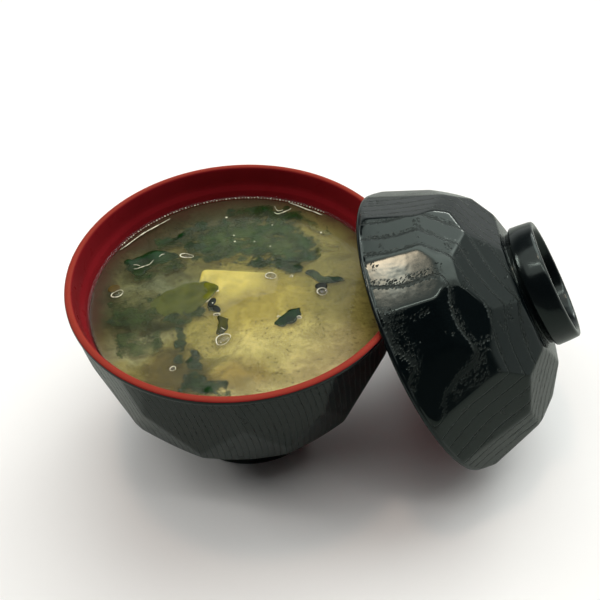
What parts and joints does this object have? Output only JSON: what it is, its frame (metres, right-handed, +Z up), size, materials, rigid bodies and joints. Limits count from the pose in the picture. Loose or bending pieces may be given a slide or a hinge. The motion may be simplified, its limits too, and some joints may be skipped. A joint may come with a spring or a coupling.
{
  "type": "bowl of miso soup",
  "caption": "Facet-carved black wooden soup bowl, red inside, filled with cloudy miso soup with bean curd and seaweed; its lid leans on the bowl.",
  "frame": {"origin": "middle of the footprint of bowl and lid together, on the table", "axes": "+Z up, +X from the bowl towards its leaning lid, -Y towards the diner"},
  "size_m": [0.1684, 0.1154, 0.0901],
  "materials": {
    "bowl_wood": "black lacquer over carved grain outside, smooth red lacquer inside",
    "lid_wood": "black lacquer over carved grain outside, smooth red lacquer inside",
    "broth": "wet and cloudy",
    "bean_curd": "smooth and moist",
    "seaweed": "wet"
  },
  "bodies": {
    "root": {"bowl": "bowl_wood", "lid": "lid_wood", "soup": "broth", "tofu": "bean_curd", "wakame_fan": "seaweed", "wakame_left": "seaweed", "wakame_olive": "seaweed", "wakame_scrap": "seaweed", "wakame_front": "seaweed", "wakame_tip": "seaweed", "wakame_ribbon": "seaweed"}
  },
  "joints": []
}
